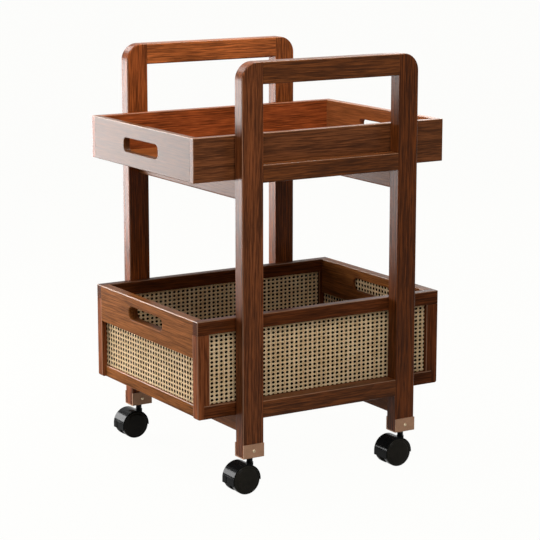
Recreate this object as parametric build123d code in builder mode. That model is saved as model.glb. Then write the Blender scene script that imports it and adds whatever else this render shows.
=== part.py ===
# Rolling storage cart: two upside-down U frames joined by cross rails, with a lift-off tray above,
# a sliding basket with cane panels below, and a swivel caster under each leg.
# Millimetres. X runs along the handles, Y from the front frame to the rear one, +Z is up.
# The origin is on the floor, under the middle of the cart.
import os

from build123d import *

# Legs and rails
frame_width = 350.0
frame_depth = 424.0
cart_height = 724.0
leg_width = 40.0
leg_thick = 25.0
frame_corner_radius = 30.0
edge_round = 2.5
joint_round = 0.8
handle_height = 37.0
guide_rail_height = 30.0
guide_rail_drop = 4.0
cross_rail_height = 37.0
cross_rail_thick = 20.0
cross_rail_setback = 20.0

# Mortise and tenon joints
tenon_shoulder = 6.0
rail_tenon_length = 18.0
rail_tenon_thick = 9.0
cross_tenon_length = 14.0
cross_tenon_thick = 8.0
glue_gap = 0.1
end_gap = 0.5

# Where the tray and the basket rest, and their running room
tray_rest_height = 529.0
basket_rest_height = 130.0
rest_gap = 0.1
tray_side_gap = 5.0
basket_side_gap = 4.0

# Lift-off tray
tray_length = 500.0
tray_height = 74.0
tray_wall = 12.0
tray_edge_round = 1.2
tray_hole_length = 122.0
tray_hole_height = 24.0
tray_hole_corner = 8.5

# Basket
basket_length = 490.0
basket_height = 168.0
basket_frame_thick = 16.0
basket_top_rail = 24.0
basket_bottom_rail = 23.0
basket_post = 12.0
basket_stile = 11.5
basket_stile_step = 1.0
basket_end_thick = 18.0
basket_board_height = 65.0
basket_end_rail = 21.0
end_rail_setback = 6.0
end_rail_shoulder = 1.5
basket_foot_round = 4.0
basket_edge_round = 1.5
basket_hole_length = 121.0
basket_hole_height = 23.0
basket_hole_drop = 29.0

# Cane panels and their grooves
cane_thick = 3.0
cane_side_recess = 8.0
cane_end_recess = 10.0
cane_tongue = 4.0
cane_slot_margin = 7.0
cane_slot_top_wall = 10.0

# Floors, tongues and tenons of the tray and the basket
floor_thick = 6.0
floor_lift = 3.5
floor_tongue_thick = 3.0
floor_tongue_length = 3.5
tongue_thick = 4.0
tongue_length = 4.0
tongue_stop = 10.0
groove_gap = 0.1
board_gap = 0.2
frame_tenon_width = 8.0
frame_tenon_thick = 6.0
frame_tenon_length = 9.0
frame_tenon_inset = 3.0

# Caster brackets and their screws
bracket_plate = 2.0
bracket_height = 24.0
bracket_bend = 1.5
screw_height = 12.0
screw_radius = 2.0
screw_length = 6.0
screw_head_radius = 2.9
screw_head_height = 1.2
screw_head_round = 0.8
screw_slot_length = 3.4
screw_slot_width = 0.8
screw_slot_depth = 0.7

# Caster stems
caster_height = 60.0
stem_radius = 4.0
stem_grip = 30.0
neck_radius = 5.2
neck_length = 10.0
journal_radius = 3.5
journal_length = 17.0
running_gap = 0.05
thrust_gap = 0.15

# Caster hoods, wheels and axles
caster_trail = 16.0
wheel_radius = 25.0
wheel_inner_face = 7.2
wheel_outer_face = 20.0
wheel_bevel = 2.8
wheel_cap = 1.1
axle_radius = 2.5
axle_half_length = 18.4
hood_half_width = 18.5
hood_thick = 1.3
hood_clearance = 0.4
hood_front_angle = -5.0
hood_skirt_bottom = 17.0
web_half_width = 4.0
web_radius = 20.5
socket_wall = 2.75
socket_floor = 5.0

# Brake levers
lever_half_width = 6.6
lever_thick = 3.2
lever_round = 1.2
lever_recess = 0.6
lever_bottom = 13.0
lever_top = 31.0
lever_gap = 0.4
lever_pin_height = 27.0
lever_pin_inset = 3.6
lever_pin_radius = 1.5
lever_knuckle_radius = 3.4
lever_tongue_half_width = 2.5

os.makedirs("parts", exist_ok=True)

sides = (("left", -1), ("right", 1))
rows = (("front", -1), ("rear", 1))
corners = [(row, side, sy, sx) for row, sy in rows for side, sx in sides]


def write(piece, name):
    """Label a finished piece and write its STEP file."""
    piece.part.label = name
    export_step(piece.part, f"parts/{name}.step")


def at_both_x(x, y, z):
    """Places at -x and +x."""
    return Locations((-x, y, z), (x, y, z))


def at_both_y(x, y, z):
    """Places at -y and +y."""
    return Locations((x, -y, z), (x, y, z))


def outermost(shapes, axis, sign):
    """The shape that lies farthest out along the axis, on the side of the sign."""
    return shapes.sort_by(axis)[-1 if sign > 0 else 0]


# Places shared by the pieces of the frames
leg_foot = caster_height + bracket_plate
leg_x = (frame_width - leg_width) / 2
leg_y = (frame_depth - leg_thick) / 2
inner_x = frame_width / 2 - leg_width
inner_y = frame_depth / 2 - leg_thick
cross_x = frame_width / 2 - cross_rail_setback - cross_rail_thick / 2
screw_z = caster_height + screw_height
rails = (
    ("handle", cart_height - handle_height / 2, handle_height),
    ("mid_rail", tray_rest_height - guide_rail_drop + guide_rail_height / 2, guide_rail_height),
    ("low_rail", basket_rest_height - guide_rail_drop + guide_rail_height / 2, guide_rail_height),
)
cross_rails = (
    ("upper", tray_rest_height - cross_rail_height / 2),
    ("lower", basket_rest_height - cross_rail_height / 2),
)
rail_mortise = rail_tenon_length + end_gap
cross_mortise = cross_tenon_length + end_gap

# Legs: mortised for the rails and bored for the stem, with the outer top corner rounded
for row, side, sy, sx in corners:
    with BuildPart() as leg:
        with BuildSketch(Plane.XZ.offset(-sy * leg_y - leg_thick / 2)) as leg_face:
            with Locations((sx * leg_x, (leg_foot + cart_height) / 2)):
                Rectangle(leg_width, cart_height - leg_foot)
            top_corners = leg_face.vertices().group_by(Axis.Y)[-1]
            fillet(outermost(top_corners, Axis.X, sx), radius=frame_corner_radius)
        extrude(amount=leg_thick)
        outline = leg.faces().filter_by(Axis.Y).edges()
        outline = outline.filter_by(lambda edge: edge.center().Z > leg_foot + glue_gap)
        fillet(
            outline.filter_by(lambda edge: abs(edge.center().X - sx * inner_x) > glue_gap),
            radius=edge_round,
        )
        outline = leg.faces().filter_by(Axis.Y).edges()
        fillet(
            outline.filter_by(lambda edge: abs(edge.center().X - sx * inner_x) < glue_gap),
            radius=joint_round,
        )
        for _, rail_z, rail_height in rails:
            with Locations((sx * (inner_x + rail_mortise / 2), sy * leg_y, rail_z)):
                Box(
                    rail_mortise,
                    rail_tenon_thick + 2 * glue_gap,
                    rail_height - 2 * tenon_shoulder + 2 * glue_gap,
                    mode=Mode.SUBTRACT,
                )
        for _, cross_z in cross_rails:
            with Locations((sx * cross_x, sy * (inner_y + cross_mortise / 2), cross_z)):
                Box(
                    cross_tenon_thick + 2 * glue_gap,
                    cross_mortise,
                    cross_rail_height - 2 * tenon_shoulder + 2 * glue_gap,
                    mode=Mode.SUBTRACT,
                )
        with BuildSketch(Plane.XY.offset(leg_foot)):
            with Locations((sx * leg_x, sy * leg_y)):
                Circle(stem_radius + glue_gap)
        extrude(amount=stem_grip + end_gap, mode=Mode.SUBTRACT)
        for outward in (-1, 1):
            face_y = sy * leg_y + outward * leg_thick / 2
            with BuildSketch(Plane((sx * leg_x, face_y, screw_z), x_dir=(1, 0, 0), z_dir=(0, outward, 0))):
                Circle(screw_radius + glue_gap)
            extrude(amount=bracket_plate - screw_length - end_gap, mode=Mode.SUBTRACT)
    write(leg, f"leg_{row}_{side}")

# Handles and guide rails: each joins the two legs of one frame
for row, sy in rows:
    for rail_name, rail_z, rail_height in rails:
        with BuildPart() as rail:
            with Locations((0, sy * leg_y, rail_z)):
                Box(2 * inner_x, leg_thick, rail_height)
            fillet(rail.edges().filter_by(Axis.X), radius=edge_round)
            with Locations((0, sy * leg_y, rail_z)):
                Box(
                    2 * (inner_x + rail_tenon_length),
                    rail_tenon_thick,
                    rail_height - 2 * tenon_shoulder,
                )
        write(rail, f"{rail_name}_{row}")

# Cross rails: the upper pair carries the tray, the lower pair the basket
for level, cross_z in cross_rails:
    for side, sx in sides:
        with BuildPart() as cross_rail:
            with Locations((sx * cross_x, 0, cross_z)):
                Box(cross_rail_thick, 2 * inner_y, cross_rail_height)
            fillet(cross_rail.edges().filter_by(Axis.Y), radius=edge_round)
            with Locations((sx * cross_x, 0, cross_z)):
                Box(
                    cross_tenon_thick,
                    2 * (inner_y + cross_tenon_length),
                    cross_rail_height - 2 * tenon_shoulder,
                )
        write(cross_rail, f"cross_rail_{level}_{side}")

# Caster brackets: a U of plate under each leg, with a flange up its front and its rear face
with BuildPart() as brackets:
    for row, side, sy, sx in corners:
        with BuildSketch(Plane.YZ.offset(sx * leg_x - leg_width / 2)) as bracket_profile:
            with Locations((sy * leg_y, caster_height + bracket_height / 2)):
                Rectangle(leg_thick + 2 * bracket_plate, bracket_height)
            fillet(bracket_profile.vertices().group_by(Axis.Y)[0], radius=bracket_bend)
            with Locations((sy * leg_y, leg_foot + bracket_height / 2)):
                Rectangle(leg_thick, bracket_height, mode=Mode.SUBTRACT)
        extrude(amount=leg_width)
        with BuildSketch(Plane.XY.offset(caster_height)):
            with Locations((sx * leg_x, sy * leg_y)):
                Circle(stem_radius + glue_gap)
        extrude(amount=bracket_plate, mode=Mode.SUBTRACT)
        with BuildSketch(Plane.XZ.offset(-sy * leg_y)):
            with Locations((sx * leg_x, screw_z)):
                Circle(screw_radius + glue_gap)
        extrude(amount=leg_thick, both=True, mode=Mode.SUBTRACT)
write(brackets, "caster_brackets")

# Bracket screws: rounded heads with a cross slot, one in each flange
with BuildPart() as screws:
    for row, side, sy, sx in corners:
        for outward in (-1, 1):
            seat_y = sy * leg_y + outward * (leg_thick / 2 + bracket_plate)
            seat = Plane((sx * leg_x, seat_y, screw_z), x_dir=(1, 0, 0), z_dir=(0, outward, 0))
            with BuildSketch(seat):
                Circle(screw_head_radius)
            extrude(amount=screw_head_height)
            rims = screws.edges(Select.LAST).filter_by(GeomType.CIRCLE)
            fillet(outermost(rims, Axis.Y, outward), radius=screw_head_round)
            with BuildSketch(seat):
                Circle(screw_radius)
            extrude(amount=-screw_length)
            with BuildSketch(seat.offset(screw_head_height)):
                Rectangle(screw_slot_length, screw_slot_width)
                Rectangle(screw_slot_width, screw_slot_length)
            extrude(amount=-screw_slot_depth, mode=Mode.SUBTRACT)
write(screws, "bracket_screws")

# Caster stems: gripped in the legs, with a neck under the bracket and a journal below it
neck_bottom = caster_height - neck_length
journal_bottom = neck_bottom - journal_length
with BuildPart() as stems:
    for row, side, sy, sx in corners:
        for bottom, radius, length in (
            (caster_height, stem_radius, bracket_plate + stem_grip),
            (neck_bottom, neck_radius, neck_length),
            (journal_bottom, journal_radius, journal_length),
        ):
            with BuildSketch(Plane.XY.offset(bottom)):
                with Locations((sx * leg_x, sy * leg_y)):
                    Circle(radius)
            extrude(amount=length)
write(stems, "caster_stems")

# Casters: a hood with its web and socket, an axle and two wheels; the left ones have brake levers
hood_inner_radius = wheel_radius + hood_clearance
hood_outer_radius = hood_inner_radius + hood_thick
skirt_drop = wheel_radius - hood_skirt_bottom
socket_bottom = journal_bottom - end_gap
lever_inner_face = hood_outer_radius - lever_recess - lever_thick
lever_pin_offset = lever_inner_face - lever_pin_inset
lever_tongue_radius = lever_pin_inset - lever_gap
notch_edge = lever_pin_offset - lever_knuckle_radius - lever_gap

for row, side, sy, sx in corners:
    caster = f"caster_{row}_{side}"
    swivel_x = sx * leg_x
    swivel_y = sy * leg_y
    axle_x = swivel_x - caster_trail
    axle_plane = Plane((axle_x, swivel_y, wheel_radius), x_dir=(1, 0, 0), z_dir=(0, -1, 0))
    pin_x = axle_x - lever_pin_offset
    pin_plane = Plane((pin_x, swivel_y, lever_pin_height), x_dir=(1, 0, 0), z_dir=(0, -1, 0))
    braked = side == "left"

    with BuildPart() as hood:
        with BuildSketch(axle_plane):
            with BuildLine():
                outer_arc = CenterArc((0, 0), hood_outer_radius, hood_front_angle, 180 - hood_front_angle)
                inner_arc = CenterArc((0, 0), hood_inner_radius, hood_front_angle, 180 - hood_front_angle)
                Line(outer_arc @ 0, inner_arc @ 0)
                Polyline(
                    outer_arc @ 1,
                    (-hood_outer_radius, -skirt_drop),
                    (-hood_inner_radius, -skirt_drop),
                    inner_arc @ 1,
                )
            make_face()
        extrude(amount=hood_half_width, both=True)
        with BuildSketch(axle_plane):
            Circle(hood_inner_radius + hood_thick / 2)
            with Locations((0, -hood_outer_radius)):
                Rectangle(4 * hood_outer_radius, 2 * hood_outer_radius, mode=Mode.SUBTRACT)
            Circle(web_radius)
        extrude(amount=web_half_width, both=True)
        if braked:
            with Locations((axle_x - notch_edge, swivel_y, 0)):
                Box(
                    hood_outer_radius,
                    2 * (lever_half_width + lever_gap),
                    lever_top + lever_gap,
                    align=(Align.MAX, Align.CENTER, Align.MIN),
                    mode=Mode.SUBTRACT,
                )
            with BuildSketch(pin_plane):
                Circle(lever_tongue_radius)
            extrude(amount=lever_tongue_half_width, both=True)
            with Locations((pin_x, swivel_y, lever_pin_height)):
                Box(
                    lever_pin_offset,
                    2 * lever_tongue_half_width,
                    2 * lever_tongue_radius,
                    align=(Align.MIN, Align.CENTER, Align.CENTER),
                )
            with BuildSketch(pin_plane):
                Circle(lever_pin_radius)
            extrude(amount=lever_tongue_half_width, both=True, mode=Mode.SUBTRACT)
        with BuildSketch(Plane.XY.offset(socket_bottom - socket_floor)):
            with Locations((swivel_x, swivel_y)):
                Circle(journal_radius + running_gap + socket_wall)
        extrude(amount=neck_bottom - thrust_gap - socket_bottom + socket_floor)
        with BuildSketch(Plane.XY.offset(socket_bottom)):
            with Locations((swivel_x, swivel_y)):
                Circle(journal_radius + running_gap)
        extrude(amount=caster_height, mode=Mode.SUBTRACT)
        with BuildSketch(axle_plane):
            Circle(axle_radius)
        extrude(amount=hood_half_width, both=True, mode=Mode.SUBTRACT)
    write(hood, f"{caster}_hood")

    with BuildPart() as axle:
        with BuildSketch(axle_plane):
            Circle(axle_radius)
        extrude(amount=axle_half_length, both=True)
    write(axle, f"{caster}_axle")

    for wheel_name, out in (("outer", sy), ("inner", -sy)):
        wheel_plane = Plane(
            (axle_x, swivel_y + out * wheel_inner_face, wheel_radius),
            x_dir=(1, 0, 0),
            z_dir=(0, out, 0),
        )
        with BuildPart() as wheel:
            with BuildSketch(wheel_plane):
                Circle(wheel_radius)
            extrude(amount=wheel_outer_face - wheel_inner_face)
            fillet(outermost(wheel.edges().filter_by(GeomType.CIRCLE), Axis.Y, out), radius=wheel_bevel)
            with BuildSketch(wheel_plane):
                Circle(axle_radius + running_gap)
            extrude(amount=wheel_outer_face - wheel_inner_face - wheel_cap, mode=Mode.SUBTRACT)
        write(wheel, f"{caster}_wheel_{wheel_name}")

    if braked:
        with BuildPart() as lever:
            with Locations((axle_x - lever_inner_face, swivel_y, lever_bottom)):
                Box(
                    lever_thick,
                    2 * lever_half_width,
                    lever_top - lever_bottom,
                    align=(Align.MAX, Align.CENTER, Align.MIN),
                )
            fillet(lever.faces().sort_by(Axis.X)[0].edges(), radius=lever_round)
            with BuildSketch(pin_plane):
                Circle(lever_knuckle_radius)
            extrude(amount=lever_half_width, both=True)
            with Locations((axle_x - lever_inner_face, swivel_y, lever_pin_height)):
                Box(
                    lever_pin_inset,
                    2 * lever_half_width,
                    2 * lever_knuckle_radius,
                    align=(Align.MIN, Align.CENTER, Align.CENTER),
                )
                Box(
                    lever_pin_inset + 2 * lever_knuckle_radius,
                    2 * (lever_tongue_half_width + lever_gap),
                    4 * lever_knuckle_radius,
                    align=(Align.MIN, Align.CENTER, Align.CENTER),
                    mode=Mode.SUBTRACT,
                )
            with BuildSketch(pin_plane):
                Circle(lever_pin_radius + running_gap)
            extrude(amount=lever_half_width, both=True, mode=Mode.SUBTRACT)
        write(lever, f"{caster}_brake_lever")

        with BuildPart() as lever_pin:
            with BuildSketch(pin_plane):
                Circle(lever_pin_radius)
            extrude(amount=lever_half_width, both=True)
        write(lever_pin, f"{caster}_lever_pin")

# Tray: two long walls that cover the ends of the boards, with a floor held in grooves
tray_bottom = tray_rest_height + rest_gap
tray_z = tray_bottom + tray_height / 2
tray_inner_x = tray_length / 2 - tray_wall
tray_inner_y = inner_y - tray_side_gap - tray_wall
tray_end_x = tray_inner_x + tray_wall / 2
tray_floor_z = tray_bottom + floor_lift + floor_thick / 2
groove_height = floor_tongue_thick + 2 * groove_gap
groove_depth = floor_tongue_length + board_gap

for row, sy in rows:
    with BuildPart() as tray_side:
        with Locations((0, sy * (tray_inner_y + tray_wall / 2), tray_z)):
            Box(tray_length, tray_wall, tray_height)
        fillet(tray_side.edges(), radius=tray_edge_round)
        with Locations((0, sy * tray_inner_y, tray_floor_z)):
            Box(2 * (tray_inner_x + groove_depth), 2 * groove_depth, groove_height, mode=Mode.SUBTRACT)
        with at_both_x(tray_end_x, sy * tray_inner_y, tray_z):
            Box(
                tongue_thick + 2 * groove_gap,
                2 * (tongue_length + board_gap),
                tray_height - 2 * tongue_stop + 2 * groove_gap,
                mode=Mode.SUBTRACT,
            )
    write(tray_side, f"tray_wall_{row}")

for side, sx in sides:
    with BuildPart() as tray_end:
        with Locations((sx * tray_end_x, 0, tray_z)):
            Box(tray_wall, 2 * tray_inner_y, tray_height)
        fillet(tray_end.edges().filter_by(Axis.Y), radius=tray_edge_round)
        with BuildSketch(Plane.YZ.offset(sx * tray_end_x)):
            with Locations((0, tray_z)):
                RectangleRounded(tray_hole_length, tray_hole_height, tray_hole_corner)
        extrude(amount=tray_wall, both=True, mode=Mode.SUBTRACT)
        fillet(tray_end.edges(Select.NEW).filter_by(Axis.X, reverse=True), radius=tray_edge_round)
        with at_both_y(sx * tray_end_x, tray_inner_y, tray_z):
            Box(tongue_thick, 2 * tongue_length, tray_height - 2 * tongue_stop)
        with Locations((sx * tray_inner_x, 0, tray_floor_z)):
            Box(2 * groove_depth, 2 * tray_inner_y, groove_height, mode=Mode.SUBTRACT)
    write(tray_end, f"tray_end_{side}")

with BuildPart() as tray_floor:
    with Locations((0, 0, tray_floor_z)):
        Box(2 * (tray_inner_x - board_gap), 2 * (tray_inner_y - board_gap), floor_thick)
        Box(
            2 * (tray_inner_x + floor_tongue_length),
            2 * (tray_inner_y + floor_tongue_length),
            floor_tongue_thick,
        )
write(tray_floor, "tray_floor")

# Places shared by the pieces of the basket
basket_bottom = basket_rest_height + rest_gap
basket_top = basket_bottom + basket_height
basket_x = basket_length / 2
basket_y = inner_y - basket_side_gap
basket_inner_x = basket_x - basket_end_thick
basket_inner_y = basket_y - basket_frame_thick
post_x = basket_x - basket_post / 2
post_inner_x = basket_x - basket_post
opening_x = post_inner_x - basket_stile
opening_bottom = basket_bottom + basket_bottom_rail
opening_top = basket_top - basket_top_rail
opening_height = opening_top - opening_bottom
side_cane_y = basket_y - cane_side_recess - cane_thick / 2
end_cane_x = basket_x - cane_end_recess - cane_thick / 2
cane_groove = cane_thick + 2 * groove_gap
cane_depth = cane_tongue + board_gap
board_x = basket_x - basket_end_thick / 2
board_bottom = basket_top - basket_board_height
board_z = (board_bottom + basket_top) / 2
end_rail_top = basket_bottom + basket_end_rail
end_rail_z = (basket_bottom + end_rail_top) / 2
end_rail_thick = basket_end_thick - end_rail_setback
end_rail_x = basket_inner_x + end_rail_thick / 2
end_rail_tongue_x = basket_x - end_rail_setback - end_rail_shoulder - tongue_thick / 2
tenon_y = basket_y - frame_tenon_inset - frame_tenon_thick / 2
bottom_rail_z = (basket_bottom + opening_bottom) / 2
basket_floor_z = basket_bottom + floor_lift + floor_thick / 2
hole_z = basket_top - basket_hole_drop


def cut_end_grooves(sy):
    """Cut the grooves that hold the tongues of the end boards and rails, and the end cane panels."""
    for tongue_x, tongue_z, height in (
        (post_x, board_z, basket_board_height),
        (end_rail_tongue_x, end_rail_z, basket_end_rail),
    ):
        with at_both_x(tongue_x, sy * basket_inner_y, tongue_z):
            Box(
                tongue_thick + 2 * groove_gap,
                2 * (tongue_length + board_gap),
                height - tongue_stop + 2 * groove_gap,
                mode=Mode.SUBTRACT,
            )
    with at_both_x(end_cane_x, sy * basket_inner_y, board_bottom):
        Box(
            cane_groove,
            2 * cane_depth,
            board_bottom - end_rail_top + cane_depth,
            align=(Align.CENTER, Align.CENTER, Align.MAX),
            mode=Mode.SUBTRACT,
        )


# Basket front and rear frames: a top rail over two stiles, with the bottom rail between them
for row, sy in rows:
    frame_y = sy * (basket_y - basket_frame_thick / 2)

    with BuildPart() as top_rail:
        with Locations((0, frame_y, basket_top - basket_top_rail / 2)):
            Box(basket_length, basket_frame_thick, basket_top_rail)
        fillet(top_rail.edges(), radius=basket_edge_round)
        with Locations((0, sy * side_cane_y, opening_top)):
            Box(2 * (opening_x + cane_depth), cane_groove, 2 * cane_depth, mode=Mode.SUBTRACT)
        with at_both_x(post_x, sy * tenon_y, opening_top):
            Box(
                frame_tenon_width + 2 * glue_gap,
                frame_tenon_thick + 2 * glue_gap,
                2 * (frame_tenon_length + end_gap),
                mode=Mode.SUBTRACT,
            )
        cut_end_grooves(sy)
    write(top_rail, f"basket_top_rail_{row}")

    with BuildPart() as bottom_rail:
        with Locations((0, frame_y, bottom_rail_z)):
            Box(2 * post_inner_x, basket_frame_thick, basket_bottom_rail)
        fillet(bottom_rail.edges().filter_by(Axis.X), radius=basket_edge_round)
        with Locations((0, sy * tenon_y, bottom_rail_z)):
            Box(2 * (post_inner_x + frame_tenon_length), frame_tenon_thick, frame_tenon_width)
        with Locations((0, sy * side_cane_y, opening_bottom)):
            Box(2 * (opening_x + cane_depth), cane_groove, 2 * cane_depth, mode=Mode.SUBTRACT)
        with Locations((0, sy * basket_inner_y, basket_floor_z)):
            Box(2 * (basket_inner_x + groove_depth), 2 * groove_depth, groove_height, mode=Mode.SUBTRACT)
        cut_end_grooves(sy)
    write(bottom_rail, f"basket_bottom_rail_{row}")

    for side, sx in sides:
        with BuildPart() as stile:
            with BuildSketch(Plane.XZ.offset(-frame_y - basket_frame_thick / 2)) as post_face:
                with Locations((sx * post_x, (basket_bottom + opening_top) / 2)):
                    Rectangle(basket_post, opening_top - basket_bottom)
                feet = post_face.vertices().group_by(Axis.Y)[0]
                fillet(outermost(feet, Axis.X, sx), radius=basket_foot_round)
            extrude(amount=basket_frame_thick)
            outline = outermost(stile.faces().filter_by(Axis.Y), Axis.Y, sy).edges()
            outline = outline.filter_by(lambda edge: edge.center().Z < opening_top - glue_gap)
            fillet(
                outline.filter_by(lambda edge: abs(edge.center().X) > post_inner_x + glue_gap),
                radius=basket_edge_round,
            )
            with Locations((sx * post_inner_x, frame_y - sy * basket_stile_step / 2, opening_top)):
                Box(
                    basket_stile,
                    basket_frame_thick - basket_stile_step,
                    opening_height,
                    align=(Align.MAX if sx > 0 else Align.MIN, Align.CENTER, Align.MAX),
                )
            with Locations((sx * post_x, sy * tenon_y, opening_top)):
                Box(frame_tenon_width, frame_tenon_thick, 2 * frame_tenon_length)
            with Locations((sx * post_inner_x, sy * tenon_y, bottom_rail_z)):
                Box(
                    2 * (frame_tenon_length + end_gap),
                    frame_tenon_thick + 2 * glue_gap,
                    frame_tenon_width + 2 * glue_gap,
                    mode=Mode.SUBTRACT,
                )
            with Locations((sx * opening_x, sy * side_cane_y, opening_top)):
                Box(
                    2 * cane_depth,
                    cane_groove,
                    opening_height,
                    align=(Align.CENTER, Align.CENTER, Align.MAX),
                    mode=Mode.SUBTRACT,
                )
            cut_end_grooves(sy)
        write(stile, f"basket_stile_{row}_{side}")

    with BuildPart() as side_cane:
        with Locations((0, sy * side_cane_y, (opening_bottom + opening_top) / 2)):
            Box(2 * (opening_x + cane_tongue), cane_thick, opening_height + 2 * cane_tongue)
    write(side_cane, f"basket_cane_{row}")

# Basket ends: a board with a hand hole, a bottom rail, and a cane panel in grooves between them.
# The right panel runs on up inside its board, behind the hand hole.
for side, sx in sides:
    cane_bottom = end_rail_top - cane_tongue
    cane_top = basket_top - cane_slot_top_wall if side == "right" else board_bottom + cane_tongue
    slot_half_length = basket_inner_y - cane_slot_margin

    with BuildPart() as end_board:
        with Locations((sx * board_x, 0, board_z)):
            Box(basket_end_thick, 2 * basket_inner_y, basket_board_height)
        fillet(end_board.edges().filter_by(Axis.Y), radius=basket_edge_round)
        with BuildSketch(Plane.YZ.offset(sx * board_x)):
            with Locations((0, hole_z)):
                SlotOverall(basket_hole_length, basket_hole_height)
        extrude(amount=basket_end_thick, both=True, mode=Mode.SUBTRACT)
        fillet(end_board.edges(Select.NEW).filter_by(Axis.X, reverse=True), radius=basket_edge_round)
        with at_both_y(sx * post_x, basket_inner_y, board_z):
            Box(tongue_thick, 2 * tongue_length, basket_board_height - tongue_stop)
        with Locations((sx * end_cane_x, 0, cane_top + groove_gap)):
            Box(
                cane_groove,
                2 * (slot_half_length + board_gap),
                cane_top - cane_bottom,
                align=(Align.CENTER, Align.CENTER, Align.MAX),
                mode=Mode.SUBTRACT,
            )
    write(end_board, f"basket_end_board_{side}")

    with BuildPart() as end_rail:
        with Locations((sx * end_rail_x, 0, end_rail_z)):
            Box(end_rail_thick, 2 * basket_inner_y, basket_end_rail)
        fillet(end_rail.edges().filter_by(Axis.Y), radius=basket_edge_round)
        with at_both_y(sx * end_rail_tongue_x, basket_inner_y, end_rail_z):
            Box(tongue_thick, 2 * tongue_length, basket_end_rail - tongue_stop)
        with Locations((sx * end_cane_x, 0, end_rail_top)):
            Box(cane_groove, 2 * basket_inner_y, 2 * cane_depth, mode=Mode.SUBTRACT)
        with Locations((sx * basket_inner_x, 0, basket_floor_z)):
            Box(2 * groove_depth, 2 * basket_inner_y, groove_height, mode=Mode.SUBTRACT)
    write(end_rail, f"basket_end_rail_{side}")

    with BuildPart() as end_cane:
        with Locations((sx * end_cane_x, 0, cane_bottom)):
            Box(
                cane_thick,
                2 * (basket_inner_y + cane_tongue),
                board_bottom - groove_gap - cane_bottom,
                align=(Align.CENTER, Align.CENTER, Align.MIN),
            )
            Box(
                cane_thick,
                2 * slot_half_length,
                cane_top - cane_bottom,
                align=(Align.CENTER, Align.CENTER, Align.MIN),
            )
    write(end_cane, f"basket_cane_{side}")

# Basket floor: held in grooves in the bottom rails
with BuildPart() as basket_floor:
    with Locations((0, 0, basket_floor_z)):
        Box(2 * (basket_inner_x - board_gap), 2 * (basket_inner_y - board_gap), floor_thick)
        Box(
            2 * (basket_inner_x + floor_tongue_length),
            2 * (basket_inner_y + floor_tongue_length),
            floor_tongue_thick,
        )
write(basket_floor, "basket_floor")
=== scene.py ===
import math

import bpy
from mathutils import Matrix, Vector


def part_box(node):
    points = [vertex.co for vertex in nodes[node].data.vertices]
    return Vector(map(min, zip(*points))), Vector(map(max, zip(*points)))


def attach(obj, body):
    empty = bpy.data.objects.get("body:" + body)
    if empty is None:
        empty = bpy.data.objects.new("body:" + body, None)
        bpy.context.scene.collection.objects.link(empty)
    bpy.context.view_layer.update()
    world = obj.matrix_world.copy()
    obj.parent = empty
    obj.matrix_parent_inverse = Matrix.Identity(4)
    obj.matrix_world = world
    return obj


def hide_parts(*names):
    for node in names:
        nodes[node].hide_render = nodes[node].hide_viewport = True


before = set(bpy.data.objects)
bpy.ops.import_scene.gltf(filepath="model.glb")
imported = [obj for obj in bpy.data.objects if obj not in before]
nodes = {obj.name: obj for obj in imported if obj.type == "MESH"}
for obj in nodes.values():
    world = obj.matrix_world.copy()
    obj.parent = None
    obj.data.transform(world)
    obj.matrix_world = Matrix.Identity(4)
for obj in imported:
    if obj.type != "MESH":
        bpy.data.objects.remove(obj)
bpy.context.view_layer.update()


# The studio: a white floor and backdrop, a strip lamp over the frames, a bright panel behind on
# the left that the lacquer mirrors, two lamps in front on the left, and two lamps behind that
# draw the edges.
class Flow:
    """A number, colour or shape on its way through a node tree. Sums on it add their nodes."""

    def __init__(self, tree, socket=None):
        self.tree = tree
        self.socket = socket

    def make(self, kind, settings=None, inputs=None, output=0):
        node = self.tree.nodes.new(kind)
        for name, value in (settings or {}).items():
            if name == "stops":
                ramp = node.color_ramp
                while len(ramp.elements) < len(value):
                    ramp.elements.new(0.5)
                for element, (place, colour) in zip(ramp.elements, value):
                    element.position = place
                    element.color = (*colour, 1)
            else:
                setattr(node, name, value)
        for name, value in (inputs or {}).items():
            if isinstance(value, Flow):
                self.tree.links.new(value.socket, node.inputs[name])
            else:
                node.inputs[name].default_value = value
        return Flow(self.tree, node.outputs[output] if len(node.outputs) else None)

    def beside(self, output):
        return Flow(self.tree, self.socket.node.outputs[output])

    def sum(self, operation, first, second=0.0, third=0.0):
        inputs = {0: first, 1: second, 2: third}
        return self.make("ShaderNodeMath", {"operation": operation}, inputs)

    def __add__(self, other):
        return self.sum("ADD", self, other)

    __radd__ = __add__

    def __mul__(self, other):
        return self.sum("MULTIPLY", self, other)

    __rmul__ = __mul__

    def __sub__(self, other):
        return self.sum("SUBTRACT", self, other)

    def __rsub__(self, other):
        return self.sum("SUBTRACT", other, self)

    def __truediv__(self, other):
        return self.sum("DIVIDE", self, other)

    def __mod__(self, other):
        return self.sum("FLOORED_MODULO", self, other)

    def __gt__(self, other):
        return self.sum("GREATER_THAN", self, other)


def new_finish(name):
    finish = bpy.data.materials.new(name)
    finish.use_nodes = True
    finish.node_tree.nodes.clear()
    return finish, Flow(finish.node_tree)


def new_piece(name, data):
    piece = bpy.data.objects.new(name, data)
    bpy.context.scene.collection.objects.link(piece)
    return piece


def seen_directly(flow):
    """1 where a surface is looked at, straight, in gloss or through glass, and 0 for its light."""
    rays = flow.make("ShaderNodeLightPath")
    seen = rays.beside("Is Camera Ray") + rays.beside("Is Glossy Ray")
    return flow.sum("MINIMUM", seen + rays.beside("Is Transmission Ray"), 1.0)


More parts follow.
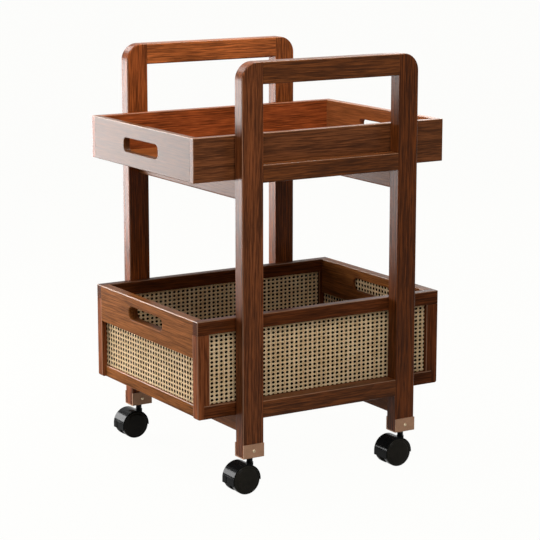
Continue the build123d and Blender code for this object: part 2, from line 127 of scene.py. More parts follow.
PAPER_WHITE = (1, 1, 0.985, 1)
PAPER_GREY = (0.42, 0.42, 0.41, 1)
PAPER_SHOWN = 0.975
FLOOR_REACH = 30
FLOOR_CORNERS = ((-1, -1), (1, -1), (1, 1), (-1, 1))
floor_mesh = bpy.data.meshes.new("studio_floor")
corners = [(x * FLOOR_REACH, y * FLOOR_REACH, 0) for x, y in FLOOR_CORNERS]
floor_mesh.from_pydata(corners, [], [(0, 1, 2, 3)])
floor = new_piece("studio_floor", floor_mesh)
paper, flow = new_finish("studio_paper")
matt = flow.make("ShaderNodeBsdfDiffuse", inputs={"Color": PAPER_GREY})
bright = flow.make("ShaderNodeEmission", inputs={"Color": PAPER_WHITE, "Strength": 1.0})
share = seen_directly(flow) * PAPER_SHOWN
shown = flow.make("ShaderNodeMixShader", inputs={0: share, 1: matt, 2: bright})
flow.make("ShaderNodeOutputMaterial", inputs={"Surface": shown})
floor_mesh.materials.append(paper)

ROOM_WHITE = (1, 1, 1, 1)
ROOM_STRENGTH = 0.22
world = bpy.data.worlds.new("studio_world")
world.use_nodes = True
world.node_tree.nodes.clear()
flow = Flow(world.node_tree)
room = flow.make("ShaderNodeBackground", inputs={"Color": ROOM_WHITE, "Strength": ROOM_STRENGTH})
backdrop = flow.make("ShaderNodeBackground", inputs={"Color": PAPER_WHITE, "Strength": 1.0})
around = flow.make("ShaderNodeMixShader", inputs={0: seen_directly(flow), 1: room, 2: backdrop})
flow.make("ShaderNodeOutputWorld", inputs={"Surface": around})
bpy.context.scene.world = world

# Each lamp's place, the point it faces, its width and height in metres, and its power in watts.
LAMPS = {
    "lamp_over_frames": ((0.0, -0.08, 1.35), (0.0, 0.02, 0.5), (1.0, 0.25), 11),
    "panel_back_left": ((-1.0, 1.3, 0.41), (-0.2, 0.0, 0.45), (1.3, 0.6), 46),
    "lamp_front_high": ((-0.55, -1.0, 1.65), (0.0, -0.2, 0.5), (0.6, 0.6), 12),
    "lamp_front_low": ((-0.6, -2.2, 1.5), (-0.1, -0.2, 0.3), (1.0, 1.0), 12),
    "lamp_back_high": ((-0.5, 2.2, 1.75), (0.0, 0.0, 0.4), (1.2, 0.4), 22),
    "lamp_back_right": ((2.1, 1.7, 1.5), (0.0, 0.0, 0.35), (1.2, 1.2), 18),
}
for name, (place, aim, (width, height), power) in LAMPS.items():
    lamp = bpy.data.lights.new(name, "AREA")
    lamp.shape = "RECTANGLE"
    lamp.size = width
    lamp.size_y = height
    lamp.energy = power
    holder = new_piece(name, lamp)
    holder.location = place
    facing = Vector(aim) - Vector(place)
    holder.rotation_euler = facing.to_track_quat("-Z", "Y").to_euler()
    holder.visible_camera = False

CAMERA_PLACE = (-1.8178, -2.9734, 1.0319)
CAMERA_DIP = 11.401
CAMERA_TURN = 31.55
LENS_LENGTH = 133.0
lens = bpy.data.cameras.new("photo_camera")
lens.lens = LENS_LENGTH
camera = new_piece("photo_camera", lens)
camera.location = CAMERA_PLACE
camera.rotation_euler = (math.radians(90 - CAMERA_DIP), 0, -math.radians(CAMERA_TURN))
bpy.context.scene.camera = camera
bpy.context.scene.view_settings.view_transform = "Standard"


# The two leg frames: solid walnut legs, handles and rails, tenoned and glued flush, with rounded
# edges and a satin lacquer. The grain follows the length of each piece, and each is cut from
# another place in the log.
ALONG_X, ALONG_Y, ALONG_Z = 0, 1, 2
LATE_WOOD_SHARE = 0.48
EARLY_WOOD_SHARE = 1.75
RING_WIDTH = 0.0047
RING_WANDER = 0.018
RING_HARDNESS = 3.0
RING_MEAN = 0.25
HEART_ASIDE = 0.6

# Each mark of the wood: how far it is drawn out along the grain, its scale and its detail.
WANDER = (0.12, 22.0, 2.0)
STREAK = (0.028, 400.0, 3.0)
FIBRE = (0.035, 900.0, 2.0)
PATCH = (0.10, 60.0, 3.0)
PORE = (0.06, 1500.0, 1.0)
MARK_ROUGHNESS = 0.6
PORE_LIMIT = 0.66

STREAK_SHADE, FIBRE_SHADE, PATCH_SHADE, RING_SHADE, PORE_SHADE = 2.0, 2.0, 1.2, 0.25, 0.10
STREAK_RELIEF, RING_RELIEF, PORE_RELIEF = 0.5, 0.3, 0.8
STREAK_DULLNESS, PORE_DULLNESS = 0.12, 0.14
LACQUER_GLOSS = 0.07
LACQUER_ROUGHNESS = 0.30
# Within this band along the upright and top edges, the colour is mixed towards a pale painted
# highlight for the glint on the rounded arrises, and a coat makes them glossier.
EDGE_BAND_WIDTH = 0.0013
PAINTED_EDGE_HIGHLIGHT = (0.42, 0.22, 0.12, 1)
EDGE_HIGHLIGHT_SHARE = 0.35
EDGE_COAT = 0.5
EDGE_COAT_ROUGHNESS = 0.22
GLUED_MARGIN = 10 * EDGE_BAND_WIDTH


def swing(noise, reach):
    """The noise, made to swing about zero over this reach."""
    return (noise - 0.5) * reach


def shaded(flow, stops, shade):
    return flow.make("ShaderNodeValToRGB", {"stops": stops}, {0: shade})


def fine_relief(flow, height, strength, depth=0.0001):
    inputs = {"Strength": strength, "Distance": depth, "Height": height}
    return flow.make("ShaderNodeBump", inputs=inputs, output="Normal")


def surfaced(finish, flow, inputs):
    surface = flow.make("ShaderNodeBsdfPrincipled", inputs=inputs)
    flow.make("ShaderNodeOutputMaterial", inputs={"Surface": surface})
    return finish


def dress(node_name, finish):
    for slot in nodes[node_name].material_slots:
        slot.material = finish


def walnut(name, along, cut, tone, gloss=LACQUER_GLOSS, figure=1.0, joined_side=0):
    """Dress a piece in lacquered walnut with its grain along one axis. The cut is its place in the
    log: how far along, how far from the heart, and its slope to it. The figure is the strength of
    the grain. The upright and top edges get a painted highlight, a paler colour for the glint on
    their rounded arrises, and a coat that makes them shinier, but not on a joined side, -1 or 1,
    the X side that is glued to a rail."""
    finish, flow = new_finish("walnut_" + name)
    spot = flow.make("ShaderNodeTexCoord", output="Object")
    split = flow.make("ShaderNodeSeparateXYZ", inputs={0: spot})
    length, side, depth = [split.beside("XYZ"[(along + turn) % 3]) for turn in range(3)]
    log_place, heart_distance, slope = cut
    low, high = [list(corner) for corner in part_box(name)]
    if joined_side > 0:
        high[0] += GLUED_MARGIN
    if joined_side < 0:
        low[0] -= GLUED_MARGIN

    def near_face(axis):
        place = split.beside("XYZ"[axis])
        inside = flow.sum("MINIMUM", place - low[axis], high[axis] - place)
        return flow.sum("LESS_THAN", inside, EDGE_BAND_WIDTH)

    near_x, near_y = near_face(0), near_face(1)
    near_top = split.beside("Z") > high[2] - EDGE_BAND_WIDTH
    on_edge = flow.sum("MINIMUM", near_x * near_y + (near_x + near_y) * near_top, 1.0)

    def marks(drawn_out, scale, detail):
        inputs = {0: length * drawn_out + log_place, 1: side, 2: depth}
        spot_in_log = flow.make("ShaderNodeCombineXYZ", inputs=inputs)
        inputs = {"Vector": spot_in_log, "Scale": scale, "Detail": detail}
        inputs["Roughness"] = MARK_ROUGHNESS
        return flow.make("ShaderNodeTexNoise", inputs=inputs)

    from_heart_side = side - heart_distance + length * slope
    from_heart_depth = depth - heart_distance * HEART_ASIDE
    squared = from_heart_side * from_heart_side + from_heart_depth * from_heart_depth
    radius = flow.sum("SQRT", squared) + swing(marks(*WANDER), RING_WANDER)
    ring = flow.sum("POWER", (radius % RING_WIDTH) / RING_WIDTH, RING_HARDNESS)
    streak, fibre, patch = marks(*STREAK), marks(*FIBRE), marks(*PATCH)
    pore = marks(*PORE) > PORE_LIMIT
    fine = swing(streak, STREAK_SHADE) + swing(fibre, FIBRE_SHADE) - pore * PORE_SHADE
    broad = swing(patch, PATCH_SHADE) - (ring - RING_MEAN) * RING_SHADE
    late_wood = tuple(part * LATE_WOOD_SHARE for part in tone)
    early_wood = tuple(part * EARLY_WOOD_SHARE for part in tone)
    stops = [(0.10, late_wood), (0.50, tone), (0.95, early_wood)]
    grain = shaded(flow, stops, 0.5 + (fine + broad) * figure)
    # Painted highlight: the edge band is mixed towards a pale colour.
    mixed = {0: on_edge * EDGE_HIGHLIGHT_SHARE, 6: grain, 7: PAINTED_EDGE_HIGHLIGHT}
    colour = flow.make("ShaderNodeMix", {"data_type": "RGBA"}, mixed, output=2)
    relief = streak * STREAK_RELIEF - ring * RING_RELIEF - pore * PORE_RELIEF
    dullness = pore * PORE_DULLNESS + swing(streak, STREAK_DULLNESS)
    inputs = {
        "Base Color": colour,
        "Roughness": LACQUER_ROUGHNESS + dullness * figure,
        "Specular IOR Level": gloss,
        "Coat Weight": on_edge * EDGE_COAT,
        "Coat Roughness": EDGE_COAT_ROUGHNESS,
        "Normal": fine_relief(flow, relief, strength=0.2),
    }
    dress(name, surfaced(finish, flow, inputs))


# Each piece's cut, and its tone. The leg tones are partly painted light and shade: the rear legs
# are lighter for the light on the rear frame, and the front right leg is darker than the front
# left for light falling off to the right.
LEGS = {
    "leg_front_left": ((0.3, 0.31, -0.03), (0.112, 0.032, 0.0095)),
    "leg_front_right": ((2.0, 0.36, -0.01), (0.082, 0.021, 0.0045)),
    "leg_rear_left": ((3.7, 0.41, 0.01), (0.140, 0.034, 0.0075)),
    "leg_rear_right": ((5.4, 0.46, 0.03), (0.125, 0.033, 0.0075)),
}
LEG_FIGURE = 1.25
# Painted light and shade: the rear rails are lighter and warmer for the light that falls on the
# rear frame, and the front rails are darker, where less light falls.
FRONT_RAIL_SHADED_TONE = (0.092, 0.027, 0.0070)
REAR_RAIL_LIT_TONE = (0.200, 0.054, 0.0130)
RAILS = {
    "handle_front": ((2.1, 0.22, 0.03), FRONT_RAIL_SHADED_TONE),
    "mid_rail_front": ((3.4, 0.26, 0.01), FRONT_RAIL_SHADED_TONE),
    "low_rail_front": ((4.7, 0.30, -0.01), FRONT_RAIL_SHADED_TONE),
    "handle_rear": ((5.4, 0.22, 0.03), REAR_RAIL_LIT_TONE),
    "mid_rail_rear": ((6.7, 0.26, 0.01), REAR_RAIL_LIT_TONE),
    "low_rail_rear": ((8.0, 0.30, -0.01), REAR_RAIL_LIT_TONE),
}
CROSS_RAILS = {
    "cross_rail_upper_left": (5.2, 0.18, 0.02),
    "cross_rail_upper_right": (7.1, 0.21, 0.02),
    "cross_rail_lower_left": (9.0, 0.24, 0.02),
    "cross_rail_lower_right": (10.9, 0.27, 0.02),
}
CROSS_RAIL_TONE = (0.120, 0.038, 0.0100)
CROSS_RAIL_GLOSS = 0.043
CROSS_RAIL_FIGURE = 0.6
for name, (cut, tone) in LEGS.items():
    inward = 1 if "left" in name else -1
    walnut(name, ALONG_Z, cut, tone, figure=LEG_FIGURE, joined_side=inward)
for name, (cut, tone) in RAILS.items():
    walnut(name, ALONG_X, cut, tone)
for name, cut in CROSS_RAILS.items():
    walnut(name, ALONG_Y, cut, CROSS_RAIL_TONE, CROSS_RAIL_GLOSS, CROSS_RAIL_FIGURE)


# The caster brackets: four U-shaped plates of 2 mm steel under the legs, sprayed bronze, each
# held by two small yellow-zinc cross-head screws driven into the leg from the front and the back.
PLATE_DARK, PLATE_PALE = (0.270, 0.142, 0.080), (0.440, 0.245, 0.145)
ZINC_DARK, ZINC_PALE = (0.36, 0.28, 0.18), (0.64, 0.53, 0.37)
SCREW_RADIUS = 0.0029
SCREW_HEIGHT = 0.0012
CROSS_REACH = 0.0014
CROSS_HALF = 0.00038
CROSS_DEPTH = 0.0008
CROSS_TAPER = 0.8
HEAD_STEPS = 48
SCREW_X = 0.155
SCREW_Z = 0.072
LEG_Y = 0.1995
FLANGE_FROM_LEG = 0.0145
QUARTER_TURN = math.pi / 2

# The screw head's outline, in shares of its radius and of its height.
HEAD_PROFILE = [(1.0, -0.25), (1.0, 0.0), (0.93, 0.45), (0.78, 0.78), (0.60, 0.95)]


def speckle(flow, spot, scale, detail=2.0):
    inputs = {"Vector": spot, "Scale": scale, "Detail": detail}
    return flow.make("ShaderNodeTexNoise", inputs=inputs)


def sprayed_plate():
    finish, flow = new_finish("bracket_bronze")
    spot = flow.make("ShaderNodeTexCoord", output="Object")
    speck = speckle(flow, spot, scale=1400.0)
    cloud = speckle(flow, spot, scale=60.0)
    shade = 0.5 + swing(speck, 0.8) + swing(cloud, 0.5)
    inputs = {
        "Base Color": shaded(flow, [(0.2, PLATE_DARK), (0.8, PLATE_PALE)], shade),
        "Roughness": 0.45 + swing(speck, 0.2),
        "Metallic": 0.15,
        "Specular IOR Level": 0.2,
        "Normal": fine_relief(flow, speck, strength=0.2),
    }
    return surfaced(finish, flow, inputs)


def bare_steel(name, dark, pale, roughness, scale):
    finish, flow = new_finish(name)
    spot = flow.make("ShaderNodeTexCoord", output="Object")
    speck = speckle(flow, spot, scale, detail=3.0)
    inputs = {
        "Base Color": shaded(flow, [(0.3, dark), (0.7, pale)], speck),
        "Roughness": roughness + swing(speck, 0.16),
        "Metallic": 1.0,
        "Normal": fine_relief(flow, speck, strength=0.15, depth=0.00005),
    }
    return surfaced(finish, flow, inputs)


def turned(name, rings):
    """A closed mesh about Z from rings of (radius, height), with one pair for every step round."""
    steps = len(rings[0])
    points = []
    for ring in rings:
        for step, (out, up) in enumerate(ring):
            turn = 2 * math.pi * step / steps
            points.append((out * math.cos(turn), out * math.sin(turn), up))
    faces = []
    for level in range(len(rings) - 1):
        for step in range(steps):
            nearby = (step + 1) % steps
            low, high = level * steps, (level + 1) * steps
            faces.append((low + step, low + nearby, high + nearby, high + step))
    last = (len(rings) - 1) * steps
    faces.append(tuple(last + step for step in range(steps)))
    faces.append(tuple(reversed(range(steps))))
    mesh = bpy.data.meshes.new(name)
    mesh.from_pydata(points, [], faces)
    return mesh


def screw_head():
    rings = []
    for out, up in HEAD_PROFILE:
        rings.append([(SCREW_RADIUS * out, SCREW_HEIGHT * up)] * HEAD_STEPS)
    mouth = []
    for step in range(HEAD_STEPS):
        turn = 2 * math.pi * step / HEAD_STEPS
        across = min(abs(math.sin(turn)), abs(math.cos(turn)))
        mouth.append(CROSS_REACH if across * CROSS_REACH < CROSS_HALF else CROSS_HALF / across)
    rings.append([(reach, SCREW_HEIGHT) for reach in mouth])
    rings.append([(reach * CROSS_TAPER, SCREW_HEIGHT - CROSS_DEPTH) for reach in mouth])
    return turned("screw_head", rings)


def new_tree(name, given, result):
    """A tree of Geometry Nodes with these named inputs and the shape that comes out."""
    tree = bpy.data.node_groups.new(name, "GeometryNodeTree")
    for label, kind in given.items():
        kind = "NodeSocket" + kind
        tree.interface.new_socket(name=label, in_out="INPUT", socket_type=kind)
    kind = "NodeSocketGeometry"
    tree.interface.new_socket(name=result, in_out="OUTPUT", socket_type=kind)
    return tree


def in_material(shape, material):
    inputs = {"Geometry": shape, "Material": material}
    return shape.make("GeometryNodeSetMaterial", inputs=inputs)


def worked_out(piece, tree, values):
    """Run the tree on the piece with these inputs, and keep the result as its plain mesh."""
    modifier = piece.modifiers.new(tree.name, "NODES")
    modifier.node_group = tree
    sockets = {item.name: item.identifier for item in tree.interface.items_tree}
    for name, value in values.items():
        modifier[sockets[name]] = value
    bpy.context.view_layer.update()
    finished = piece.evaluated_get(bpy.context.evaluated_depsgraph_get())
    mesh = bpy.data.meshes.new_from_object(finished)
    piece.modifiers.clear()
    piece.data = mesh


dress("caster_brackets", sprayed_plate())
zinc = bare_steel("screw_zinc", ZINC_DARK, ZINC_PALE, roughness=0.30, scale=900.0)
seats = []
for leg_x in (-SCREW_X, SCREW_X):
    for leg_y in (-LEG_Y, LEG_Y):
        for out in (-1, 1):
            seats.append((leg_x, leg_y + out * FLANGE_FROM_LEG, SCREW_Z))
seat_mesh = bpy.data.meshes.new("screw_seats")
seat_mesh.from_pydata(seats, [], [])
screws = new_piece("bracket_screw_heads", seat_mesh)
pattern = new_piece("screw_pattern", screw_head())

SCREW_INPUTS = {"Seats": "Geometry", "Leg Row": "Float", "Metal": "Material"}
tree = new_tree("screws_on_plates", SCREW_INPUTS, "Screws")
flow = Flow(tree)
given = flow.make("NodeGroupInput")
place = flow.make("GeometryNodeInputPosition")
place_y = flow.make("ShaderNodeSeparateXYZ", inputs={0: place}).beside("Y")
from_row = flow.sum("ABSOLUTE", place_y) - given.beside("Leg Row")
outward = flow.sum("SIGN", from_row * place_y)
turn_about = flow.make("ShaderNodeCombineXYZ", inputs={0: outward * -QUARTER_TURN, 1: 0.0, 2: 0.0})
head = flow.make("GeometryNodeObjectInfo", inputs={"Object": pattern}, output="Geometry")
inputs = {"Points": given.beside("Seats"), "Instance": head, "Rotation": turn_about}
placed = flow.make("GeometryNodeInstanceOnPoints", inputs=inputs)
real = flow.make("GeometryNodeRealizeInstances", inputs={0: placed})
flow.make("NodeGroupOutput", inputs={"Screws": in_material(real, given.beside("Metal"))})
worked_out(screws, tree, {"Leg Row": LEG_Y, "Metal": zinc})
bpy.data.objects.remove(pattern)
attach(screws, "cart_frame")
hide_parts("bracket_screws")


# The casters: twin black nylon wheels under a glossy moulded hood that swivels on a blackened
# steel stem. The wheels have a domed cap inside a groove. The two casters on the left have a
# brake lever in the hood.
STEM_DARK, STEM_PALE = (0.004, 0.004, 0.004), (0.010, 0.010, 0.010)
AXLE_DARK, AXLE_PALE = (0.42, 0.42, 0.42), (0.62, 0.62, 0.61)
HOOD_BLACK = (0.0035, 0.0035, 0.0035)
LEVER_BLACK = (0.004, 0.004, 0.004)
NYLON_BLACK = (0.0095, 0.0082, 0.0058)
MOULDED_PALE_SHARE = 1.6
GRAIN_RELIEF = 0.3
SEAM_RELIEF = 4.0
RIB_RELIEF = 2.0
SEAM_HALF_WIDTH = 0.0004
HOOD_SEAM_Z = 0.0305
LEVER_RIB_PITCH = 0.0022
WHEEL_STEPS = 96

# The wheel's outline from its bore to its cap, in shares of its radius and of its width.
WHEEL_PROFILE = [
    (0.102, 0.914),
    (0.102, 0.000),
    (0.960, 0.000),
    (1.000, 0.080),
    (1.000, 0.780),
    (0.985, 0.870),
    (0.950, 0.940),
    (0.905, 0.968),
    (0.880, 0.968),
    (0.868, 0.910),
    (0.850, 0.910),
    (0.838, 0.950),
    (0.700, 0.972),
    (0.500, 0.988),
    (0.250, 0.998),
    (0.030, 1.000),
]


def moulded_black(name, colour, roughness, gloss, seam_height=None, rib_pitch=None):
    finish, flow = new_finish(name)
    spot = flow.make("ShaderNodeTexCoord", output="Object")
    grain = speckle(flow, spot, scale=2600.0)
    cloud = speckle(flow, spot, scale=90.0)
    up = flow.make("ShaderNodeSeparateXYZ", inputs={0: spot}).beside("Z")
    relief = grain * GRAIN_RELIEF
    if seam_height:
        relief = relief + flow.sum("COMPARE", up, seam_height, SEAM_HALF_WIDTH) * SEAM_RELIEF
    if rib_pitch:
        relief = relief + flow.sum("SINE", up * (2 * math.pi / rib_pitch)) * RIB_RELIEF
    pale = tuple(part * MOULDED_PALE_SHARE for part in colour)
    inputs = {
        "Base Color": shaded(flow, [(0.3, colour), (0.7, pale)], 0.5 + swing(cloud, 0.8)),
        "Roughness": roughness + swing(grain, 0.06),
        "Specular IOR Level": gloss,
        "Normal": fine_relief(flow, relief, strength=0.3),
    }
    return surfaced(finish, flow, inputs)


def twin_wheel(name, low, high, out, finish):
    """A wheel turned to fill its box, with its cap towards the sign of out and its bore within."""
    radius = (high[2] - low[2]) / 2
    width = high[1] - low[1]
    rings = [[(radius * share, width * across)] * WHEEL_STEPS for share, across in WHEEL_PROFILE]
    mesh = turned(name, rings)
    centre = (low + high) / 2
    inner_face = low[1] if out > 0 else high[1]
    stand = Matrix.Rotation(-out * QUARTER_TURN, 4, "X")
    mesh.transform(Matrix.Translation((centre[0], inner_face, centre[2])) @ stand)
    mesh.materials.append(finish)
    for face in mesh.polygons:
        face.use_smooth = True
    return new_piece(name, mesh)


stem_black = bare_steel("stem_black_steel", STEM_DARK, STEM_PALE, roughness=0.35, scale=500.0)
dress("caster_stems", stem_black)
hood_black = moulded_black(
    "hood_gloss_black", HOOD_BLACK, roughness=0.13, gloss=0.045, seam_height=HOOD_SEAM_Z
)
lever_black = moulded_black(
    "lever_black", LEVER_BLACK, roughness=0.40, gloss=0.03, rib_pitch=LEVER_RIB_PITCH
)
nylon_black = moulded_black("wheel_nylon_black", NYLON_BLACK, roughness=0.22, gloss=0.05)
axle_steel = bare_steel("axle_steel", AXLE_DARK, AXLE_PALE, roughness=0.32, scale=700.0)
for row, row_side in (("front", -1), ("rear", 1)):
    for side in ("left", "right"):
        caster = f"caster_{row}_{side}"
        dress(caster + "_hood", hood_black)
        dress(caster + "_axle", axle_steel)
        for which, out in (("outer", row_side), ("inner", -row_side)):
            low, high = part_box(f"{caster}_wheel_{which}")
            wheel = twin_wheel(f"twin_wheel_{row}_{side}_{which}", low, high, out, nylon_black)
            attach(wheel, f"wheel_{row}_{side}_{which}")
            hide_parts(f"{caster}_wheel_{which}")
    dress(f"caster_{row}_left_brake_lever", lever_black)
    dress(f"caster_{row}_left_lever_pin", axle_steel)


# The tray: 12 mm walnut boards, the ends housed between the long walls, with a slot for the
# fingers in each end and a veneered floor in a groove. The grain runs along every board.
# The tones are partly painted light and shade: the rear wall and the right end, whose inner faces
# show, are lighter for the light that falls inside the tray, and the left end is darker.
TRAY_WALLS = {
    "tray_wall_front": ((8.3, 0.09, 0.05), (0.112, 0.036, 0.0120)),
    "tray_wall_rear": ((11.0, 0.13, 0.04), (0.170, 0.038, 0.0090)),
}
TRAY_ENDS = {
    "tray_end_left": ((13.7, 0.17, 0.03), (0.090, 0.032, 0.0105)),
    "tray_end_right": ((16.4, 0.21, 0.02), (0.235, 0.074, 0.0220)),
}
TRAY_FLOOR_CUT = (14.3, 0.30, 0.04)
TRAY_FLOOR_TONE = (0.150, 0.042, 0.0100)
TRAY_GLOSS = 0.056
TRAY_END_GLOSS = 0.047
TRAY_END_FIGURE = 0.5
for name, (cut, tone) in TRAY_WALLS.items():
    walnut(name, ALONG_X, cut, tone, TRAY_GLOSS)
for name, (cut, tone) in TRAY_ENDS.items():
    walnut(name, ALONG_Y, cut, tone, TRAY_END_GLOSS, TRAY_END_FIGURE)
walnut("tray_floor", ALONG_X, TRAY_FLOOR_CUT, TRAY_FLOOR_TONE, TRAY_GLOSS)


# The basket: front and rear frames of walnut rails and posts, end boards with a finger slot over
# a low rail, and a veneered floor. Woven cane fills the openings of all four sides.
BASKET_RAILS = {
    "basket_top_rail_front": (16.1, 0.17, 0.02),
    "basket_bottom_rail_front": (17.2, 0.17, 0.02),
    "basket_top_rail_rear": (18.4, 0.17, 0.02),
    "basket_bottom_rail_rear": (19.5, 0.17, 0.02),
}
# Painted light and shade: the left stiles are lighter for the light from the left, and the right
# ones are darker.
LEFT_STILE_LIT_TONE = (0.140, 0.040, 0.0130)
RIGHT_STILE_SHADED_TONE = (0.080, 0.021, 0.0060)
BASKET_STILES = {
    "basket_stile_front_left": ((21.0, 0.21, 0.02), LEFT_STILE_LIT_TONE),
    "basket_stile_front_right": ((21.7, 0.21, 0.02), RIGHT_STILE_SHADED_TONE),
    "basket_stile_rear_left": ((22.3, 0.21, 0.02), LEFT_STILE_LIT_TONE),
    "basket_stile_rear_right": ((23.0, 0.21, 0.02), RIGHT_STILE_SHADED_TONE),
}
BASKET_ENDS = {
    "basket_end_board_left": (25.2, 0.16, 0.03),
    "basket_end_rail_left": (26.4, 0.16, 0.03),
    "basket_end_board_right": (28.1, 0.16, 0.03),
    "basket_end_rail_right": (29.3, 0.16, 0.03),
}
BASKET_FLOOR_CUT = (31.7, 0.26, 0.04)
BASKET_FRAME_TONE = (0.072, 0.019, 0.0052)
BASKET_END_TONE = (0.159, 0.054, 0.0142)
BASKET_GLOSS = 0.025
BASKET_END_GLOSS = 0.014
BASKET_END_FIGURE = 0.75
for name, cut in BASKET_RAILS.items():
    walnut(name, ALONG_X, cut, BASKET_FRAME_TONE, BASKET_GLOSS)
for name, (cut, tone) in BASKET_STILES.items():
    walnut(name, ALONG_Z, cut, tone, BASKET_GLOSS)
for name, cut in BASKET_ENDS.items():
    walnut(name, ALONG_Y, cut, BASKET_END_TONE, BASKET_END_GLOSS, BASKET_END_FIGURE)
walnut("basket_floor", ALONG_X, BASKET_FLOOR_CUT, BASKET_FRAME_TONE, BASKET_GLOSS)


# The cane: split rattan skin woven six ways, with upright and level pairs and two single slants
# that leave eight-sided gaps. It is woven on both faces of a thin near-black sheet, which is
# painted shade: it darkens every gap for the shade inside the basket. Its edges sit in grooves
# of the wood.
CANE_STOPS = [
    (0.1, (0.580, 0.380, 0.190)),
    (0.5, (0.830, 0.600, 0.340)),
    (0.9, (0.930, 0.740, 0.480)),
]
SHADE_SHEET_STOPS = [(0.3, (0.006, 0.0036, 0.0020)), (0.7, (0.016, 0.0092, 0.0048))]
STRAND_THICKNESS = 0.00034
STRAND_LIFT = 0.00042
FACE_OUT = 0.0009
SHEET_THICKNESS = 0.0006
SLANT_WIDTH = 0.0009
PAIR_SPREAD = 1.12
UPRIGHT_SEED, LEVEL_SEED, RISING_SEED, FALLING_SEED = 3, 5, 7, 9
ROUNDING_MARGIN = 0.1
END_MARGIN = 0.01


def rattan():
    finish, flow = new_finish("rattan_skin")
    spot = flow.make("ShaderNodeTexCoord", output="Object")
    own = flow.make("ShaderNodeAttribute", {"attribute_name": "strand"}, output="Fac")
    fibre = speckle(flow, spot, scale=900.0)
    stain = speckle(flow, spot, scale=26.0)
    shade = 0.5 + swing(own, 0.7) + swing(fibre, 0.8) + swing(stain, 0.5)
    inputs = {
        "Base Color": shaded(flow, CANE_STOPS, shade),
        "Roughness": 0.5 + swing(fibre, 0.2),
        "Specular IOR Level": 0.15,
        "Normal": fine_relief(flow, fibre, strength=0.3),
    }
    return surfaced(finish, flow, inputs)


# Painted shade: the near-black sheet behind the weave darkens every gap for the shade inside the
# basket.
def painted_shade_sheet():
    finish, flow = new_finish("cane_painted_shade_sheet")
    spot = flow.make("ShaderNodeTexCoord", output="Object")
    colour = shaded(flow, SHADE_SHEET_STOPS, speckle(flow, spot, scale=1800.0))
    inputs = {"Base Color": colour, "Roughness": 0.9, "Specular IOR Level": 0.0}
    return surfaced(finish, flow, inputs)


WEAVE_INPUTS = {
    "Columns": "Int",
    "Rows": "Int",
    "Column Pitch": "Float",
    "Row Pitch": "Float",
    "Upright Width": "Float",
    "Level Width": "Float",
    "Slant Width": "Float",
    "Strand Thickness": "Float",
    "Lift": "Float",
    "Face Out": "Float",
    "Sheet": "Float",
    "Cane": "Material",
    "Dark": "Material",
}
weave = new_tree("six_way_cane", WEAVE_INPUTS, "Panel")
flow = Flow(weave)
given = flow.make("NodeGroupInput")
columns, rows = given.beside("Columns"), given.beside("Rows")
column_pitch, row_pitch = given.beside("Column Pitch"), given.beside("Row Pitch")
upright_width, level_width = given.beside("Upright Width"), given.beside("Level Width")
slant_width = given.beside("Slant Width")
index = flow.make("GeometryNodeInputIndex")
diamond = flow.make("GeometryNodeCurvePrimitiveCircle", inputs={"Resolution": 4, "Radius": 0.5})


def waves(value):
    """Over at even values and under at odd ones."""
    return flow.sum("COSINE", value * math.pi)


def stepped(samples):
    """Each point's strand, and its step along that strand."""
    number = flow.sum("FLOOR", (index + 0.5) / samples)
    return number, index - number * samples


def paired(number, width, pitch):
    """The line of gaps that a strand of a pair runs beside, and its place beside the line."""
    line = flow.sum("FLOOR", number * 0.5 + ROUNDING_MARGIN)
    return line, (number - line * 2 - 0.5) * width * PAIR_SPREAD / pitch


def strands(count, across, up, out, number, width, seed, beyond=None):
    """Flat strands through points counted in gaps across and up, without the points beyond."""
    inputs = {
        0: (across - (columns - 1) * 0.5) * column_pitch,
        1: 0.0 - given.beside("Face Out") - out * given.beside("Lift"),
        2: (up - (rows - 1) * 0.5) * row_pitch,
    }
    spot = flow.make("ShaderNodeCombineXYZ", inputs=inputs)
    points = flow.make("GeometryNodePoints", inputs={"Count": count, "Position": spot})
    inputs = {"ID": number, "Seed": seed}
    chance = flow.make("FunctionNodeRandomValue", {"data_type": "FLOAT"}, inputs, output=1)
    for name, kind, value in (("strand", "FLOAT", chance), ("number", "INT", number)):
        settings = {"data_type": kind, "domain": "POINT"}
        inputs = {"Geometry": points, "Name": name, "Value": value}
        points = flow.make("GeometryNodeStoreNamedAttribute", settings, inputs)
    if beyond:
        inputs = {"Geometry": points, "Selection": beyond}
        points = flow.make("GeometryNodeDeleteGeometry", {"domain": "POINT"}, inputs)
    stored = {"Name": "number"}
    strand = flow.make("GeometryNodeInputNamedAttribute", {"data_type": "INT"}, stored)
    inputs = {"Points": points, "Curve Group ID": strand}
    lines = flow.make("GeometryNodePointsToCurves", inputs=inputs)
    inputs = {"Curve": lines, "Normal": (0.0, 1.0, 0.0)}
    lines = flow.make("GeometryNodeSetCurveNormal", {"mode": "FREE"}, inputs)
    inputs = {0: given.beside("Strand Thickness"), 1: width, 2: 1.0}
    flat = flow.make("ShaderNodeCombineXYZ", inputs=inputs)
    outline = flow.make("GeometryNodeTransform", inputs={"Geometry": diamond, "Scale": flat})
    inputs = {"Curve": lines, "Profile Curve": outline, "Fill Caps": True}
    return flow.make("GeometryNodeCurveToMesh", inputs=inputs)


def joined(parts):
    whole = flow.make("GeometryNodeJoinGeometry")
    for part in parts:
        weave.links.new(part.socket, whole.socket.node.inputs[0])
    return whole


samples = rows * 2 + 1
number, step = stepped(samples)
column, aside = paired(number, upright_width, column_pitch)
up = step * 0.5 - 0.5
out = waves(column) * waves(up)
count = columns * 2 * samples
upright = strands(count, column + aside, up, out, number, upright_width, UPRIGHT_SEED)

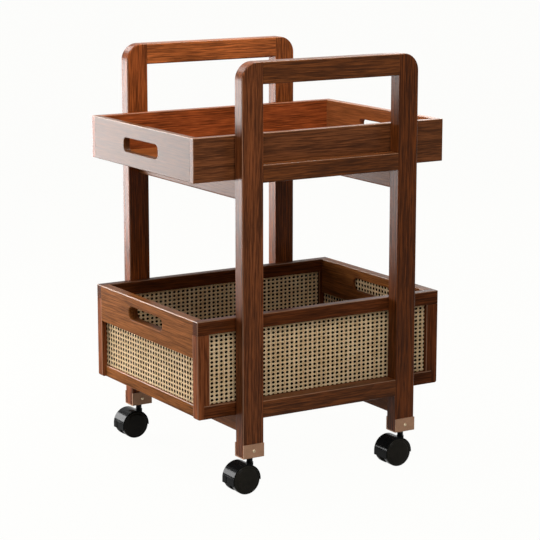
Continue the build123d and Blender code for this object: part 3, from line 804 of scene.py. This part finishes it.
samples = columns * 2 + 1
number, step = stepped(samples)
row, aside = paired(number, level_width, row_pitch)
across = step * 0.5 - 0.5
out = 0 - waves(row) * waves(across)
count = rows * 2 * samples
level = strands(count, across, row + aside, out, number, level_width, LEVEL_SEED)

samples = rows * 2 + 1
number, step = stepped(samples)
count = (columns + rows) * samples
crossing = number - rows + 0.5
begin = flow.sum("MAXIMUM", -0.5, crossing - 0.5)
end = flow.sum("MINIMUM", columns - 0.5, crossing + rows - 0.5)
across = begin + step * 0.5
out = waves(across * 2)
beyond = across > (end + END_MARGIN)
up = across - crossing
rising = strands(count, across, up, out, number, slant_width, RISING_SEED, beyond)

crossing = number - 0.5
begin = flow.sum("MAXIMUM", -0.5, crossing - rows + 0.5)
end = flow.sum("MINIMUM", columns - 0.5, crossing + 0.5)
across = begin + step * 0.5
out = 0 - waves(across * 2)
beyond = across > (end + END_MARGIN)
up = crossing - across
falling = strands(count, across, up, out, number, slant_width, FALLING_SEED, beyond)

one_face = in_material(joined([upright, level, rising, falling]), given.beside("Cane"))
inputs = {"Geometry": one_face, "Rotation": (0.0, 0.0, math.pi)}
other_face = flow.make("GeometryNodeTransform", inputs=inputs)
# The near-black sheet between the two faces: painted shade for the gaps.
inputs = {0: columns * column_pitch, 1: given.beside("Sheet"), 2: rows * row_pitch}
sheet_size = flow.make("ShaderNodeCombineXYZ", inputs=inputs)
sheet = flow.make("GeometryNodeMeshCube", inputs={"Size": sheet_size})
sheet = in_material(sheet, given.beside("Dark"))
whole = joined([one_face, other_face, sheet])
whole = flow.make("GeometryNodeRealizeInstances", inputs={0: whole})
whole = flow.make("GeometryNodeSetShadeSmooth", inputs={0: whole, "Shade Smooth": True})
flow.make("NodeGroupOutput", inputs={"Panel": whole})

cane_skin = rattan()
cane_shade_sheet = painted_shade_sheet()


def cane_panel(side, counts, pitches, widths, place, turn):
    """A panel of so many columns and rows of gaps, turned about Z and set in its place."""
    panel = new_piece(f"cane_{side}", bpy.data.meshes.new(f"cane_{side}"))
    values = {
        "Columns": counts[0],
        "Rows": counts[1],
        "Column Pitch": pitches[0],
        "Row Pitch": pitches[1],
        "Upright Width": widths[0],
        "Level Width": widths[1],
        "Slant Width": SLANT_WIDTH,
        "Strand Thickness": STRAND_THICKNESS,
        "Lift": STRAND_LIFT,
        "Face Out": FACE_OUT,
        "Sheet": SHEET_THICKNESS,
        "Cane": cane_skin,
        "Dark": cane_shade_sheet,
    }
    worked_out(panel, weave, values)
    panel.data.transform(Matrix.Translation(place) @ Matrix.Rotation(turn, 4, "Z"))
    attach(panel, "basket")
    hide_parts(f"basket_cane_{side}")


SIDE_COUNTS = (48, 17)
SIDE_PITCHES = (0.00926, 0.00722)
SIDE_WIDTHS = (0.00165, 0.00120)
SIDE_Y, SIDE_Z = 0.1735, 0.2136
LEFT_COUNTS, RIGHT_COUNTS = (36, 10), (36, 16)
END_PITCHES = (0.00935, 0.0085)
END_WIDTHS = (0.0014, 0.00095)
END_X, LEFT_Z, RIGHT_Z = 0.2335, 0.1920, 0.2185
cane_panel("front", SIDE_COUNTS, SIDE_PITCHES, SIDE_WIDTHS, (0, -SIDE_Y, SIDE_Z), 0)
cane_panel("rear", SIDE_COUNTS, SIDE_PITCHES, SIDE_WIDTHS, (0, SIDE_Y, SIDE_Z), math.pi)
cane_panel("left", LEFT_COUNTS, END_PITCHES, END_WIDTHS, (-END_X, 0, LEFT_Z), -QUARTER_TURN)
cane_panel("right", RIGHT_COUNTS, END_PITCHES, END_WIDTHS, (END_X, 0, RIGHT_Z), QUARTER_TURN)
